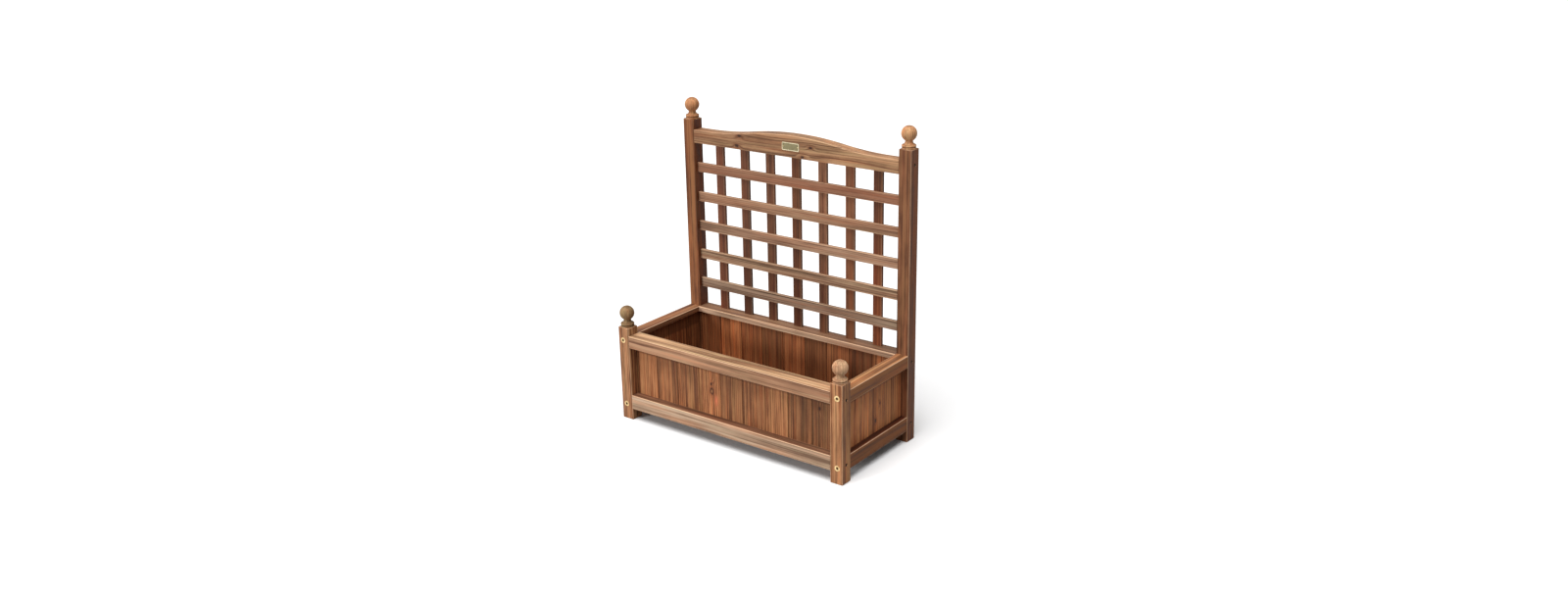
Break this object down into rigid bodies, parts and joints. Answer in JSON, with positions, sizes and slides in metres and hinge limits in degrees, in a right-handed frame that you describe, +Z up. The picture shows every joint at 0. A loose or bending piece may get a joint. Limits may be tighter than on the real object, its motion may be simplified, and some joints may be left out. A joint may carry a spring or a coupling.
{
  "type": "planter with trellis",
  "caption": "Rectangular wooden planter box on four posts with ball finials, and a slatted trellis under an arched rail at its back.",
  "frame": {"origin": "middle of the footprint, on the ground", "axes": "+X to the right along the width, +Y from the front to the trellis at the back, +Z up"},
  "size_m": [0.663, 0.308, 0.758],
  "materials": {
    "post_wood": "stained softwood, satin",
    "finial_wood": "turned, stained, satin",
    "rail_wood": "stained softwood, satin",
    "board_wood": "stained tongue and groove boards, satin",
    "floor_wood": "stained softwood, matt",
    "flat_slat_wood": "stained softwood, satin",
    "upright_slat_wood": "stained softwood, satin",
    "dowel_wood": "plain hardwood",
    "plate_brass": "brushed, aged",
    "bolt_brass": "plated, satin",
    "zinc_steel": "zinc plated",
    "dark_steel": "dark oxide"
  },
  "bodies": {
    "root": {"front_left_post": "post_wood", "front_right_post": "post_wood", "rear_left_post": "post_wood", "rear_right_post": "post_wood", "front_left_finial": "finial_wood", "front_right_finial": "finial_wood", "rear_left_finial": "finial_wood", "rear_right_finial": "finial_wood", "front_top_rail": "rail_wood", "front_bottom_rail": "rail_wood", "rear_top_rail": "rail_wood", "rear_bottom_rail": "rail_wood", "left_top_rail": "rail_wood", "left_bottom_rail": "rail_wood", "right_top_rail": "rail_wood", "right_bottom_rail": "rail_wood", "front_board_1": "board_wood", "front_board_2": "board_wood", "front_board_3": "board_wood", "front_board_4": "board_wood", "front_board_5": "board_wood", "front_board_6": "board_wood", "front_board_7": "board_wood", "front_board_8": "board_wood", "front_board_9": "board_wood", "rear_board_1": "board_wood", "rear_board_2": "board_wood", "rear_board_3": "board_wood", "rear_board_4": "board_wood", "rear_board_5": "board_wood", "rear_board_6": "board_wood", "rear_board_7": "board_wood", "rear_board_8": "board_wood", "rear_board_9": "board_wood", "left_side_boards": "board_wood", "right_side_boards": "board_wood", "floor_boards": "floor_wood", "floor_cleats": "floor_wood", "arched_rail": "rail_wood", "flat_slat_1": "flat_slat_wood", "flat_slat_2": "flat_slat_wood", "flat_slat_3": "flat_slat_wood", "flat_slat_4": "flat_slat_wood", "flat_slat_5": "flat_slat_wood", "upright_slat_1": "upright_slat_wood", "upright_slat_2": "upright_slat_wood", "upright_slat_3": "upright_slat_wood", "upright_slat_4": "upright_slat_wood", "upright_slat_5": "upright_slat_wood", "upright_slat_6": "upright_slat_wood", "upright_slat_7": "upright_slat_wood", "nameplate": "plate_brass", "nameplate_pins": "plate_brass", "corner_bolts": "bolt_brass", "barrel_nuts": "zinc_steel", "cleat_screws": "zinc_steel", "trellis_brads": "zinc_steel", "frame_screws": "dark_steel", "finial_dowels": "dowel_wood"}
  },
  "joints": []
}
